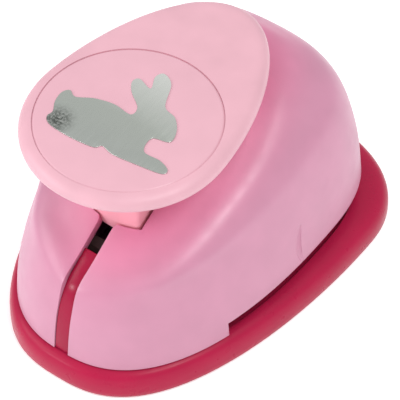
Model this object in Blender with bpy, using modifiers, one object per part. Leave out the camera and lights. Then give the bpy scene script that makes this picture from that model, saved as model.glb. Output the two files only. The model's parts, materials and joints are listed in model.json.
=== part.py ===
"""A lever craft punch for paper: a pink shell on a crimson base, with a steel die set inside.

The palm end is at -Y and the mouth, where the paper goes in, is at +Y. The lever turns on a pin above
the mouth, and its arm pushes a rabbit-shaped punch down through a guide plate and a die plate.
Lengths are in metres. The origin is at the middle of the base's underside.
"""

import math

import bmesh
import bpy
import numpy as np
from mathutils import Matrix, Vector
from mathutils.bvhtree import BVHTree

# Outlines seen from above: half width, Y of the widest place, Y of the front and rear ends, and three
# powers: across, along the front half and along the rear half (2 is an ellipse, more is squarer).
BASE_OUTLINE = (0.0290, 0.0190, -0.0390, 0.0390, 2.63, 1.95, 2.48)
RIM_INNER = (0.0241, 0.0100, -0.0354, 0.0350, 2.45, 2.25, 2.7)
LEVER_OUTLINE = (0.0188, -0.0146, -0.0336, 0.0185, 2.05, 2.0, 1.55)
OUTLINE_POINTS = 64

BASE_FLOOR = 0.0031
BASE_RIM_Z = 0.0056
WINDOW_HALF_WIDTH = 0.0135
WINDOW_REACH = 0.0115
SHELL_SEAT_Z = 0.0059
THROAT_RISE = 0.0032
THROAT_STEP_Y = -0.0166
WALL = 0.0017
BOSS_RADIUS = 0.0025
GAP = 0.0003

DIE_Y = 0.0020
DIE_Z = (0.0034, 0.0054)
GUIDE_Z = (0.0066, 0.0092)
FOOT_Z = (0.0095, 0.0109)
MOTIF_CLEARANCE = 0.00015
DIE_SCALE = 0.88

HINGE_Y = 0.0210
HINGE_Z = 0.0315
PIN_RADIUS = 0.0015

SLOT_WIDTH = 0.0031
RIB_WIDTH = 0.0024
OPENING_HALF_WIDTH = 0.0064
OPENING_REAR_Y = 0.0165
STEM_HALF_WIDTH = 0.0058
STEM_FRONT_Y = -0.0214
STEM_REAR_Y = 0.0150
FRONT_RADIUS = 0.0155

ARM_HALF_WIDTH = 0.0044
LEVER_TOP = 0.0477
LEVER_THICKNESS = 0.0034
LABEL_Y = -0.0147
LABEL_RADIUS = 0.0166

# Places of the fasteners, as (X, Y), and their radii.
SHELL_SCREWS = ((-0.0105, -0.0285), (0.0105, -0.0285))
DIE_SCREWS = ((-0.0165, 0.0200), (0.0165, 0.0200))
FRAME_SCREWS = ((-0.0165, 0.0225), (0.0165, 0.0225))
ARM_SCREWS = ((0.0, -0.0120), (0.0, 0.0060))
PLATE_RIVETS = ((-0.0045, -0.0205), (0.0045, -0.0205))
BRACKET_RIVETS = ((-0.0050, 0.0210), (0.0050, 0.0210))
SCREW_RADIUS = 0.0012
BASE_HEAD_RADIUS = 0.0025
SMALL_HEAD_RADIUS = 0.0023
HEAD_HEIGHT = 0.0011
RIVET_RADIUS = 0.0012
THREAD_BORE = 0.0013

POST_X = 0.0152
POST_RADIUS = 0.0015
CARRIER_Z = (0.0170, 0.0200)
CARRIER_HEAD_Z = 0.0237

# Rabbit resting with its head towards +X, as points round its outline, for a motif about 25 mm long.
RABBIT = (
    (-0.0008, -0.0087), (-0.0055, -0.0092), (-0.0100, -0.0089), (-0.0116, -0.0077), (-0.0115, -0.0062),
    (-0.0126, -0.0042), (-0.0130, -0.0019), (-0.0121, -0.0006), (-0.0104, -0.0013), (-0.0075, 0.0003),
    (-0.0038, 0.0012), (-0.0002, 0.0009), (-0.0002, 0.0029), (-0.0032, 0.0052), (-0.0046, 0.0072),
    (-0.0039, 0.0085), (-0.0010, 0.0077), (-0.0020, 0.0104), (-0.0011, 0.0119), (0.0014, 0.0105),
    (0.0036, 0.0058), (0.0065, 0.0047), (0.0086, 0.0023), (0.0091, -0.0003), (0.0061, -0.0014),
    (0.0068, -0.0045), (0.0102, -0.0046), (0.0125, -0.0055), (0.0122, -0.0068), (0.0082, -0.0075),
    (0.0030, -0.0081), (0.0003, -0.0076),
)
RABBIT_MIDDLE_Y = 0.0013

# The shell's rings from the bottom up: front Y, front Z, rear Y, rear Z, half width, Y of the widest
# place, power across, power along.
SHELL_RINGS = (
    (-0.0371, 0.0059, 0.0360, 0.0059, 0.0255, 0.0100, 2.45, 2.30),
    (-0.0365, 0.0100, 0.0357, 0.0110, 0.0252, 0.0100, 2.45, 2.30),
    (-0.0356, 0.0142, 0.0348, 0.0180, 0.0248, 0.0100, 2.45, 2.30),
    (-0.0343, 0.0178, 0.0333, 0.0250, 0.0241, 0.0096, 2.50, 2.35),
    (-0.0325, 0.0206, 0.0307, 0.0312, 0.0230, 0.0092, 2.55, 2.40),
    (-0.0298, 0.0227, 0.0275, 0.0354, 0.0212, 0.0084, 2.60, 2.40),
    (-0.0258, 0.0252, 0.0238, 0.0377, 0.0184, 0.0076, 2.60, 2.40),
    (-0.0214, 0.0279, 0.0202, 0.0388, 0.0148, 0.0066, 2.60, 2.40),
    (-0.0160, 0.0308, 0.0166, 0.0393, 0.0107, 0.0048, 2.60, 2.40),
)
SHELL_STEPS = 2


# ---------------------------------------------------------------- helpers

def clear_scene():
    for old in list(bpy.data.objects):
        bpy.data.objects.remove(old, do_unlink=True)


def new_collection(name, hidden=False):
    group = bpy.data.collections.new(name)
    bpy.context.scene.collection.children.link(group)
    group.hide_render = hidden
    return group


def new_material(name, colour, roughness, metallic=0.0):
    material = bpy.data.materials.new(name)
    material.use_nodes = True
    shader = material.node_tree.nodes["Principled BSDF"]
    shader.inputs["Base Color"].default_value = (*colour, 1.0)
    shader.inputs["Roughness"].default_value = roughness
    shader.inputs["Metallic"].default_value = metallic
    return material


clear_scene()
PARTS = new_collection("craft_punch")
CUTTERS = new_collection("cutters", hidden=True)
CRIMSON = (0.46, 0.02, 0.07)
PINK = (0.80, 0.26, 0.42)
PALE_PINK = (0.86, 0.45, 0.54)
STEEL = (0.60, 0.61, 0.62)
BLACK = (0.03, 0.03, 0.03)


def finish_mesh(name, mesh, colour, roughness=0.4, metallic=0.0, cutter=False):
    """Puts a mesh in the scene as a part, or as a hidden cutter."""
    made = bpy.data.objects.new(name, mesh)
    (CUTTERS if cutter else PARTS).objects.link(made)
    if cutter:
        made.hide_render = True
        made.display_type = "WIRE"
    else:
        mesh.materials.append(new_material(name, colour, roughness, metallic))
    mesh.shade_smooth()
    mesh.set_sharp_from_angle(angle=math.radians(35))
    return made


def from_bmesh(name, shape, colour=STEEL, **finish):
    mesh = bpy.data.meshes.new(name)
    bmesh.ops.recalc_face_normals(shape, faces=shape.faces)
    shape.to_mesh(mesh)
    shape.free()
    return finish_mesh(name, mesh, colour, **finish)


def box(name, low, high, colour=STEEL, **finish):
    shape = bmesh.new()
    bmesh.ops.create_cube(shape, size=1.0)
    size = Vector(high) - Vector(low)
    bmesh.ops.scale(shape, vec=size, verts=shape.verts)
    bmesh.ops.translate(shape, vec=Vector(low) + size / 2, verts=shape.verts)
    return from_bmesh(name, shape, colour, **finish)


def rod(name, radius, start, end, colour=STEEL, segments=24, end_radius=None, **finish):
    """A cylinder, or a cone when end_radius is given, from start to end."""
    start, end = Vector(start), Vector(end)
    shape = bmesh.new()
    bmesh.ops.create_cone(
        shape, cap_ends=True, segments=segments, radius1=radius,
        radius2=radius if end_radius is None else end_radius, depth=(end - start).length,
    )
    turn = (end - start).to_track_quat("Z", "Y").to_matrix().to_4x4()
    bmesh.ops.transform(shape, matrix=Matrix.Translation((start + end) / 2) @ turn, verts=shape.verts)
    return from_bmesh(name, shape, colour, **finish)


def hole_cut(name, radius, x, y, low, high):
    """An upright round cutter."""
    return rod(name, radius, (x, y, low), (x, y, high), segments=16, cutter=True)


def turned(name, profile, place, colour=STEEL, segments=24, **finish):
    """Turns a profile of (radius, height) points, outer side first from the top, about Z."""
    mesh = bpy.data.meshes.new(name)
    points = [(radius, 0.0, height) for radius, height in profile]
    mesh.from_pydata(points, [(i, i + 1) for i in range(len(points) - 1)], [])
    made = finish_mesh(name, mesh, colour, **finish)
    made.location = place
    screw = made.modifiers.new("turn", "SCREW")
    screw.steps = screw.render_steps = segments
    screw.use_merge_vertices = True
    screw.merge_threshold = 0.00001
    screw.use_smooth_shade = True
    return made


def prism(name, outline, low, high, plane="XY", colour=STEEL, **finish):
    """A flat outline, filled and given thickness: Z from low to high, or X when the plane is YZ."""
    curve = bpy.data.curves.new(name, "CURVE")
    curve.dimensions = "2D"
    curve.fill_mode = "BOTH"
    curve.extrude = (high - low) / 2
    line = curve.splines.new("POLY")
    line.points.add(len(outline) - 1)
    for point, (across, along) in zip(line.points, outline):
        point.co = (across, along, 0.0, 1.0)
    line.use_cyclic_u = True
    flat = bpy.data.objects.new(name + "_outline", curve)
    PARTS.objects.link(flat)
    if plane == "YZ":
        flat.matrix_world = Matrix(((0, 0, 1, (low + high) / 2), (1, 0, 0, 0), (0, 1, 0, 0), (0, 0, 0, 1)))
    else:
        flat.location = (0, 0, (low + high) / 2)
    bpy.context.view_layer.update()
    solid = bpy.data.meshes.new_from_object(flat.evaluated_get(bpy.context.evaluated_depsgraph_get()))
    solid.transform(flat.matrix_world)
    bpy.data.objects.remove(flat, do_unlink=True)
    shape = bmesh.new()
    shape.from_mesh(solid)
    bmesh.ops.remove_doubles(shape, verts=shape.verts, dist=0.000005)
    return from_bmesh(name, shape, colour, **finish)


def coil(name, centre, low, high, coil_radius, wire_radius, turns, colour=STEEL):
    """A compression spring with its axis along Z."""
    steps = 14 * turns
    curve = bpy.data.curves.new(name, "CURVE")
    curve.dimensions = "3D"
    curve.bevel_depth = wire_radius
    curve.bevel_resolution = 2
    curve.use_fill_caps = True
    line = curve.splines.new("POLY")
    line.points.add(steps)
    for i, point in enumerate(line.points):
        angle = 2 * math.pi * turns * i / steps
        height = low + wire_radius + (high - low - 2 * wire_radius) * i / steps
        point.co = (coil_radius * math.cos(angle), coil_radius * math.sin(angle), height, 1.0)
    made = bpy.data.objects.new(name, curve)
    made.location = (centre[0], centre[1], 0.0)
    curve.materials.append(new_material(name, colour, 0.3, 1.0))
    PARTS.objects.link(made)
    return made


def boolean(made, other, operation="DIFFERENCE"):
    cut = made.modifiers.new(other.name, "BOOLEAN")
    cut.operation = operation
    cut.solver = "EXACT"
    cut.object = other


def bevelled(made, width, segments=1):
    edge = made.modifiers.new("edge", "BEVEL")
    edge.width = width
    edge.segments = segments
    edge.limit_method = "ANGLE"
    edge.angle_limit = math.radians(40)
    return made


def pivot_at(made, place):
    """Moves a part's origin to a place and leaves its shape where it is."""
    made.data.transform(Matrix.Translation(-Vector(place)))
    made.location = place


# ---------------------------------------------------------------- outlines and lofts

def signed_power(value, power):
    return math.copysign(abs(value) ** power, value)


def egg(outline, grow=0.0, count=OUTLINE_POINTS):
    """Points of an egg-shaped outline, anticlockwise from +X, grown or shrunk by a distance."""
    half_width, wide_y, front_y, rear_y, across, front, rear = outline
    points = []
    for i in range(count):
        angle = 2 * math.pi * i / count
        behind = math.sin(angle) > 0
        length = (rear_y - wide_y if behind else wide_y - front_y) + grow
        x = (half_width + grow) * signed_power(math.cos(angle), 2 / across)
        y = wide_y + length * signed_power(math.sin(angle), 2 / (rear if behind else front))
        points.append((x, y))
    return points


def between(first, second, share):
    """Points part of the way from one outline to another."""
    return [(a[0] + (b[0] - a[0]) * share, a[1] + (b[1] - a[1]) * share) for a, b in zip(first, second)]


def at_height(outline, z):
    return [Vector((x, y, z)) for x, y in outline]


def loft(rings, closed_ends=True):
    """Skins a stack of rings with the same number of points."""
    shape = bmesh.new()
    rows = [[shape.verts.new(point) for point in ring] for ring in rings]
    count = len(rows[0])
    for lower, upper in zip(rows, rows[1:]):
        for i in range(count):
            j = (i + 1) % count
            shape.faces.new((lower[i], lower[j], upper[j], upper[i]))
    if closed_ends:
        shape.faces.new(rows[0][::-1])
        shape.faces.new(rows[-1])
    return shape


def smooth_between(rows, steps):
    """More rows through the given ones, on a Catmull-Rom curve."""
    rows = [np.array(row) for row in rows]
    padded = [2 * rows[0] - rows[1], *rows, 2 * rows[-1] - rows[-2]]
    made = []
    for before, start, end, after in zip(padded, padded[1:], padded[2:], padded[3:]):
        for step in range(steps):
            t = step / steps
            made.append(0.5 * (
                2 * start + (end - before) * t + (2 * before - 5 * start + 4 * end - after) * t ** 2
                + (3 * start - before - 3 * end + after) * t ** 3
            ))
    made.append(rows[-1])
    return made


def smooth_closed(points, steps):
    """A closed outline through the given points, on a Catmull-Rom curve."""
    points = [np.array(point) for point in points]
    count = len(points)
    made = []
    for i in range(count):
        before, start, end, after = (points[(i + k) % count] for k in (-1, 0, 1, 2))
        for step in range(steps):
            t = step / steps
            made.append(tuple(0.5 * (
                2 * start + (end - before) * t + (2 * before - 5 * start + 4 * end - after) * t ** 2
                + (3 * start - before - 3 * end + after) * t ** 3
            )))
    return made


def grown(outline, distance):
    """The outline moved outwards by a distance, point by point."""
    count = len(outline)
    area = sum(outline[k - 1][0] * outline[k][1] - outline[k][0] * outline[k - 1][1] for k in range(count))
    side = math.copysign(distance, area)
    made = []
    for i in range(count):
        (ax, ay), (bx, by) = outline[i - 1], outline[(i + 1) % count]
        run = math.hypot(bx - ax, by - ay)
        made.append((outline[i][0] + (by - ay) / run * side, outline[i][1] - (bx - ax) / run * side))
    return made


def rabbit(centre_y, scale=1.0, grow=0.0):
    """The motif's outline, about a centre on the mid-plane."""
    points = smooth_closed([(x * scale, y * scale) for x, y in RABBIT], 2)
    return [(x, y + centre_y) for x, y in grown(points, grow)]


def die_rabbit(grow=0.0):
    """The motif's outline as the punch and the plates have it."""
    return rabbit(DIE_Y - RABBIT_MIDDLE_Y * DIE_SCALE, DIE_SCALE, grow)


# ---------------------------------------------------------------- base

def make_base():
    """A tray with a rounded rim, a window for the cut-outs and holes for its screws."""
    outer = egg(BASE_OUTLINE)
    inner = egg(RIM_INNER)
    shoulder = ((0.0, 0.0004), (0.0, 0.0024), (0.05, 0.0036), (0.17, 0.0046), (0.38, 0.0053), (0.70, 0.0056))
    rings = [at_height(egg(BASE_OUTLINE, -0.0004), 0.0)]
    rings += [at_height(between(outer, inner, share), z) for share, z in shoulder]
    rings += [at_height(inner, BASE_RIM_Z), at_height(inner, BASE_FLOOR)]
    base = from_bmesh("base", loft(rings), CRIMSON, roughness=0.35)
    low = (-WINDOW_HALF_WIDTH, DIE_Y - WINDOW_REACH, -0.001)
    high = (WINDOW_HALF_WIDTH, DIE_Y + WINDOW_REACH, 0.006)
    boolean(base, bevelled(box("window_cut", low, high, cutter=True), 0.002, 3))
    for x, y in SHELL_SCREWS + DIE_SCREWS:
        boolean(base, hole_cut("screw_hole", SCREW_RADIUS + GAP, x, y, -0.001, 0.006))
        boolean(base, hole_cut("head_hole", BASE_HEAD_RADIUS + 0.0001 + GAP, x, y, -0.001, 0.0017))


def make_slot_rib():
    """The crimson fin that fills the lower part of the shell's slot."""
    sink = (0.0005, 0.0006, 0.0008, 0.0011, 0.0014)
    front = [(row[0] + depth, row[1]) for row, depth in zip(SHELL_RINGS[1:6], sink)]
    back = [(-0.0266, 0.0238), (-0.0260, 0.0224), (-0.0285, 0.0200), (-0.0310, 0.0170), (-0.0325, 0.0120),
            (-0.0330, SHELL_SEAT_Z)]
    outline = [(-0.0361, SHELL_SEAT_Z), *front, *back]
    prism("slot_rib", outline, -RIB_WIDTH / 2, RIB_WIDTH / 2, plane="YZ", colour=CRIMSON, roughness=0.3)


# ---------------------------------------------------------------- die set

PLATE_HALF_WIDTH = 0.0195
PLATE_FRONT_Y = -0.0252
PLATE_REAR_Y = 0.0300
PLATE_CORNER = 0.0080


def plate_outline(half_width, front_y, rear_y, corner):
    """A rectangle with cut corners."""
    return [
        (half_width, front_y + corner), (half_width, rear_y - corner), (half_width - corner, rear_y),
        (corner - half_width, rear_y), (-half_width, rear_y - corner), (-half_width, front_y + corner),
        (corner - half_width, front_y), (half_width - corner, front_y),
    ]


def make_die_set():
    """The die plate, the spacer that leaves the throat, and the guide plate, held by two rivets."""
    plate = plate_outline(PLATE_HALF_WIDTH, PLATE_FRONT_Y, PLATE_REAR_Y, PLATE_CORNER)
    die = prism("die_plate", plate, *DIE_Z)
    guide = prism("guide_plate", plate, *GUIDE_Z)
    spacer_outline = plate_outline(0.0130, PLATE_FRONT_Y, -0.0178, 0.003)
    spacer = prism("spacer", spacer_outline, DIE_Z[1] + GAP, GUIDE_Z[0] - GAP)
    hole = prism("motif_cut", die_rabbit(MOTIF_CLEARANCE), 0.0, 0.012, cutter=True)
    boolean(die, hole)
    boolean(guide, hole)
    for side, (x, y) in zip(("left", "right"), PLATE_RIVETS):
        shank = hole_cut("rivet_cut", RIVET_RADIUS + GAP, x, y, 0.0, 0.012)
        for sheet in (die, spacer, guide):
            boolean(sheet, shank)
        rivet(f"plate_rivet_{side}", x, y, DIE_Z[0] + 0.0004, FOOT_Z[1] + GAP)
    for x, y in DIE_SCREWS:
        boolean(die, hole_cut("die_thread", THREAD_BORE + GAP, x, y, 0.0, 0.0047))
    for x, y in FRAME_SCREWS:
        boolean(guide, hole_cut("guide_hole", THREAD_BORE + GAP, x, y, 0.006, 0.010))
        boolean(guide, hole_cut("guide_head", SMALL_HEAD_RADIUS + 0.0001 + GAP, x, y, 0.006, 0.0081))
    for x in (-POST_X, POST_X):
        boolean(guide, hole_cut("post_hole", POST_RADIUS + GAP, x, DIE_Y, 0.0075, 0.010))


def rivet(name, x, y, low, top):
    """A round-head rivet, with its head above top and its shank down to low."""
    head = ((0.0, top + 0.0009), (0.0018, top + 0.0007), (0.0027, top))
    turned(name, (*head, (RIVET_RADIUS, top), (RIVET_RADIUS, low), (0.0, low)), (x, y, 0.0), segments=16)


def screw(name, x, y, head_z, tip_z, head_radius=BASE_HEAD_RADIUS, head_height=HEAD_HEIGHT):
    """A pan-head screw that goes up from its head to its tip."""
    neck_z = head_z + head_height
    tip = ((0.0, tip_z), (SCREW_RADIUS * 0.5, tip_z), (SCREW_RADIUS, tip_z - SCREW_RADIUS))
    head = ((head_radius, neck_z), (head_radius, head_z + 0.0003), (head_radius - 0.0003, head_z))
    turned(name, (*tip, (SCREW_RADIUS, neck_z), *head, (0.0, head_z)), (x, y, 0.0), segments=16)


def make_screws():
    for side, (x, y) in zip(("left", "right"), SHELL_SCREWS):
        screw(f"shell_screw_{side}", x, y, 0.0002, 0.0130)
    for side, (x, y) in zip(("left", "right"), DIE_SCREWS):
        screw(f"die_screw_{side}", x, y, 0.0002, 0.0044)
    for side, (x, y) in zip(("left", "right"), FRAME_SCREWS):
        screw(f"frame_screw_{side}", x, y, 0.0068, 0.0150, SMALL_HEAD_RADIUS, 0.0010)


# ---------------------------------------------------------------- frame and hinge

def make_brackets():
    """The steel cheeks that carry the hinge, and the bent strip behind the shell's slot."""
    cheek = [(0.0150, 0.0095), (0.0275, 0.0095), (0.0275, 0.0220), (0.0247, 0.0330), (0.0230, 0.0352),
             (0.0193, 0.0352), (0.0172, 0.0335), (0.0150, 0.0220)]
    bracket = prism("hinge_bracket", cheek, -0.0105, 0.0105, plane="YZ", colour=BLACK)
    boolean(bracket, box("channel_cut", (-0.0090, 0.010, 0.0110), (0.0090, 0.030, 0.045), cutter=True))
    boolean(bracket, cross_hole("pin_hole", PIN_RADIUS + GAP, 0.02))
    strip = [(-0.0160, 0.0102), (-0.0245, 0.0102), (-0.0252, 0.0112), (-0.0252, 0.0190), (-0.0238, 0.0215),
             (-0.0224, 0.0222)]
    front = prism("front_bracket", thick_line(strip, 0.0014), -0.0068, 0.0068, plane="YZ", colour=BLACK)
    for x, y in PLATE_RIVETS:
        boolean(front, hole_cut("foot_hole", RIVET_RADIUS + GAP, x, y, 0.009, 0.012))
    for side, (x, y) in zip(("left", "right"), BRACKET_RIVETS):
        hole = hole_cut("bracket_hole", RIVET_RADIUS + GAP, x, y, 0.006, 0.0125)
        boolean(bracket, hole)
        boolean(bpy.data.objects["guide_plate"], hole)
        rivet(f"bracket_rivet_{side}", x, y, GUIDE_Z[0] + 0.0001, 0.0113)


def cross_hole(name, radius, reach):
    """A round cutter along the hinge's axis."""
    return rod(name, radius, (-reach, HINGE_Y, HINGE_Z), (reach, HINGE_Y, HINGE_Z), segments=20, cutter=True)


def thick_line(points, thickness):
    """The outline of a bent strip along a line of points."""
    points = [Vector(point) for point in points]
    left, right = [], []
    for i, point in enumerate(points):
        run = (points[min(i + 1, len(points) - 1)] - points[max(i - 1, 0)]).normalized()
        side = Vector((-run.y, run.x)) * thickness / 2
        left.append(tuple(point + side))
        right.append(tuple(point - side))
    return left + right[::-1]


def make_hinge_pin():
    """The pin across the cheeks, with a clip in a groove at each end."""
    reach, groove, chamfer = 0.0128, 0.0004, 0.0003
    groove_radius = PIN_RADIUS - groove
    profile = [(0.0, reach), (PIN_RADIUS - chamfer, reach), (PIN_RADIUS, reach - chamfer)]
    near, far = reach - 0.0006, reach - 0.0018
    profile += [(PIN_RADIUS, near), (groove_radius, near), (groove_radius, far), (PIN_RADIUS, far)]
    profile += [(radius, -height) for radius, height in reversed(profile)]
    pin = turned("hinge_pin", profile, (0.0, HINGE_Y, HINGE_Z), segments=20)
    pin.rotation_euler = (0.0, math.radians(90), 0.0)
    for side, x in (("left", -0.0116), ("right", 0.0116)):
        ring = rod(f"pin_clip_{side}", 0.0030, (x - 0.0003, HINGE_Y, HINGE_Z), (x + 0.0003, HINGE_Y, HINGE_Z))
        boolean(ring, cross_hole("clip_bore", groove_radius + GAP, 0.02))
        mouth_low = (x - 0.001, HINGE_Y - 0.0009, HINGE_Z - 0.005)
        boolean(ring, box("clip_mouth", mouth_low, (x + 0.001, HINGE_Y + 0.0009, HINGE_Z), cutter=True))


# ---------------------------------------------------------------- punch

def make_punch():
    """The cutter, its carrier with a round head, two guide posts and two springs."""
    punch = prism("punch", die_rabbit(), 0.0074, CARRIER_Z[0] - GAP, roughness=0.25, metallic=1.0)
    outline = [(x, y + DIE_Y) for x, y in plate_outline(0.0185, -0.0096, 0.0096, 0.004)]
    carrier = prism("punch_carrier", outline, *CARRIER_Z, colour=BLACK)
    neck, top = (0, DIE_Y, 0.0190), (0, DIE_Y, CARRIER_HEAD_Z)
    boolean(carrier, rod("carrier_head", 0.0042, neck, top, end_radius=0.0034, cutter=True), "UNION")
    for side, x in (("left", -POST_X), ("right", POST_X)):
        boolean(carrier, hole_cut("carrier_bore", POST_RADIUS + GAP, x, DIE_Y, 0.016, 0.021))
        low, high = (x, DIE_Y, 0.0078), (x, DIE_Y, 0.0212)
        rod(f"guide_post_{side}", POST_RADIUS, low, high, metallic=1.0, segments=16)
        coil(f"spring_{side}", (x, DIE_Y), GUIDE_Z[1] + GAP, CARRIER_Z[0] - GAP, 0.0023, 0.00035, 4)
    for made in (punch, carrier):
        pivot_at(made, (0.0, DIE_Y, CARRIER_Z[0]))


# ---------------------------------------------------------------- lever

def make_lever_arm():
    """The folded steel arm: an eye on the hinge pin, a nose on the carrier and a seat for the pad."""
    side = [(0.0242, 0.0315), (0.0234, 0.0336), (0.0214, 0.0347), (0.0170, 0.0356), (0.0115, 0.0412),
            (-0.0180, 0.0412), (-0.0190, 0.0395), (-0.0120, 0.0340), (0.0000, 0.0275), (0.0008, 0.0242),
            (0.0020, 0.0240), (0.0040, 0.0246), (0.0080, 0.0275), (0.0180, 0.0290), (0.0212, 0.0283),
            (0.0234, 0.0294)]
    arm = prism("lever_arm", side, -ARM_HALF_WIDTH, ARM_HALF_WIDTH, plane="YZ", colour=BLACK)
    boolean(arm, box("arm_channel", (-0.0029, -0.017, 0.0265), (0.0029, 0.0105, 0.0397), cutter=True))
    boolean(arm, cross_hole("arm_bore", PIN_RADIUS + GAP / 2, 0.01))
    for x, y in ARM_SCREWS:
        boolean(arm, hole_cut("arm_thread", THREAD_BORE + GAP, x, y, 0.038, 0.043))
    pivot_at(arm, (0.0, HINGE_Y, HINGE_Z))


def lever_rings():
    """The palm plate's rings, from the underside up and over its rounded rim."""
    low = LEVER_TOP - LEVER_THICKNESS
    edge = ((-0.0030, 0.0), (-0.0010, 0.0001), (-0.0003, 0.0006), (0.0, 0.0014), (0.0, 0.0021),
            (-0.0003, 0.0028), (-0.0009, 0.0033), (-0.0018, LEVER_THICKNESS))
    return [at_height(egg(LEVER_OUTLINE, grow, 56), low + rise) for grow, rise in edge]


def bowed(half_width, front_y, rear_y, steps=6):
    """A rectangle seen from above, with its front bowed forwards on an arc."""
    front = []
    for i in range(steps + 1):
        x = half_width * (2 * i / steps - 1)
        front.append((x, front_y + FRONT_RADIUS - math.sqrt(FRONT_RADIUS ** 2 - x ** 2)))
    return [(half_width, rear_y), (-half_width, rear_y), *front]


def make_lever_pad():
    """The palm plate with its stem, hollow under the plate where the arm lies."""
    pad = from_bmesh("lever_pad", loft(lever_rings()), PALE_PINK, roughness=0.4)
    side = [(STEM_FRONT_Y - GAP, 0.0455), (STEM_FRONT_Y - GAP, 0.0254), (STEM_FRONT_Y + 0.0018, 0.0254),
            (-0.0130, 0.0300), (0.0020, 0.0372), (0.0080, 0.0400), (0.0140, 0.0430), (STEM_REAR_Y, 0.0455)]
    stem = prism("stem_join", side, -STEM_HALF_WIDTH, STEM_HALF_WIDTH, plane="YZ", cutter=True)
    plan = bowed(STEM_HALF_WIDTH - 0.00005, STEM_FRONT_Y, STEM_REAR_Y + GAP)
    boolean(stem, prism("stem_plan", plan, 0.020, 0.050, cutter=True), "INTERSECT")
    boolean(pad, bevelled(stem, 0.0006), "UNION")
    room = ARM_HALF_WIDTH + GAP
    boolean(pad, box("arm_room", (-room, -0.0190 - GAP, 0.020), (room, 0.020, 0.0415), cutter=True))
    recess = (0, LABEL_Y, LEVER_TOP - 0.0007)
    boolean(pad, rod("label_recess", LABEL_RADIUS, recess, (0, LABEL_Y, 0.050), segments=48, cutter=True))
    for end, (x, y) in zip(("front", "rear"), ARM_SCREWS):
        boolean(pad, hole_cut("pad_thread", SCREW_RADIUS + GAP, x, y, 0.040, 0.0458))
        screw(f"arm_screw_{end}", x, y, 0.0380, 0.0455, SMALL_HEAD_RADIUS, 0.0014)
    pivot_at(pad, (0.0, HINGE_Y, HINGE_Z))


def make_label():
    """The round label in the palm plate's recess, with the motif as a thin bright sheet on it."""
    low, high = (0, LABEL_Y, LEVER_TOP - 0.0004), (0, LABEL_Y, LEVER_TOP - 0.0001)
    label = rod("label_disc", LABEL_RADIUS - GAP, low, high, PALE_PINK, segments=48, roughness=0.35)
    foil_z = (LEVER_TOP + 0.00005, LEVER_TOP + 0.00020)
    foil = prism("motif_foil", rabbit(LABEL_Y), *foil_z, roughness=0.2, metallic=1.0)
    for made in (label, foil):
        pivot_at(made, (0.0, HINGE_Y, HINGE_Z))


# ---------------------------------------------------------------- shell

def shell_ring(row):
    """One ring of the shell, which rises from its front to its rear."""
    front_y, front_z, rear_y, rear_z, half_width, wide_y, across, along = row
    outline = egg((half_width, wide_y, front_y, rear_y, across, along, along + 0.3))
    points = []
    for x, y in outline:
        share = (y - front_y) / (rear_y - front_y)
        points.append(Vector((x, y, front_z + (rear_z - front_z) * share)))
    return points


def add_boss(shell, skin_tree, x, y, low):
    """A screw boss that grows down from the inside of the shell's skin."""
    hits = []
    for turn in (0.0, 0.5 * math.pi, math.pi, 1.5 * math.pi):
        start = Vector((x + BOSS_RADIUS * math.cos(turn), y + BOSS_RADIUS * math.sin(turn), 0.1))
        hits.append(skin_tree.ray_cast(start, Vector((0, 0, -1)))[0].z)
    boolean(shell, hole_cut("boss", BOSS_RADIUS, x, y, low, min(hits) - WALL / 2), "UNION")
    boolean(shell, hole_cut("boss_bore", THREAD_BORE, x, y, low - 0.001, low + 0.0100))


def make_shell():
    """The outer shell: an open skin with thickness, a raised mouth, a slot and the lever's opening."""
    rings = [shell_ring(row) for row in smooth_between(SHELL_RINGS, SHELL_STEPS)]
    outer = loft(rings, closed_ends=False)
    outer.verts.ensure_lookup_table()
    outer.faces.new(outer.verts[-OUTLINE_POINTS:])
    skin_tree = BVHTree.FromBMesh(outer)
    shell = from_bmesh("body_shell", outer, PINK, roughness=0.35)
    skin = shell.modifiers.new("wall", "SOLIDIFY")
    skin.thickness = WALL
    skin.offset = -1.0
    skin.use_even_offset = True
    for x, y in SHELL_SCREWS:
        add_boss(shell, skin_tree, x, y, SHELL_SEAT_Z)
    for x, y in FRAME_SCREWS:
        add_boss(shell, skin_tree, x, y, GUIDE_Z[1] + GAP)
    slot_low, slot_high = (-SLOT_WIDTH / 2, -0.050, 0.0), (SLOT_WIDTH / 2, -0.0200, 0.040)
    boolean(shell, box("slot_cut", slot_low, slot_high, cutter=True))
    plan = bowed(OPENING_HALF_WIDTH, STEM_FRONT_Y - GAP, OPENING_REAR_Y)
    boolean(shell, prism("lever_opening", plan, 0.020, 0.060, cutter=True))
    mouth_high = (0.04, 0.05, SHELL_SEAT_Z + THROAT_RISE)
    boolean(shell, box("mouth_cut", (-0.04, THROAT_STEP_Y, 0.0), mouth_high, cutter=True))


for make in (make_base, make_slot_rib, make_die_set, make_screws, make_brackets, make_hinge_pin, make_punch,
             make_lever_arm, make_lever_pad, make_label, make_shell):
    make()
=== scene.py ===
"""Looks for the lever craft punch: fine plastic shells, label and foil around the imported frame.

The palm end is at -Y and the mouth is at +Y, as in the frame. Lengths are in metres.
"""

import json
import math

import bmesh
import bpy
import numpy as np
from mathutils import Matrix, Vector
from mathutils.bvhtree import BVHTree


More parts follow.
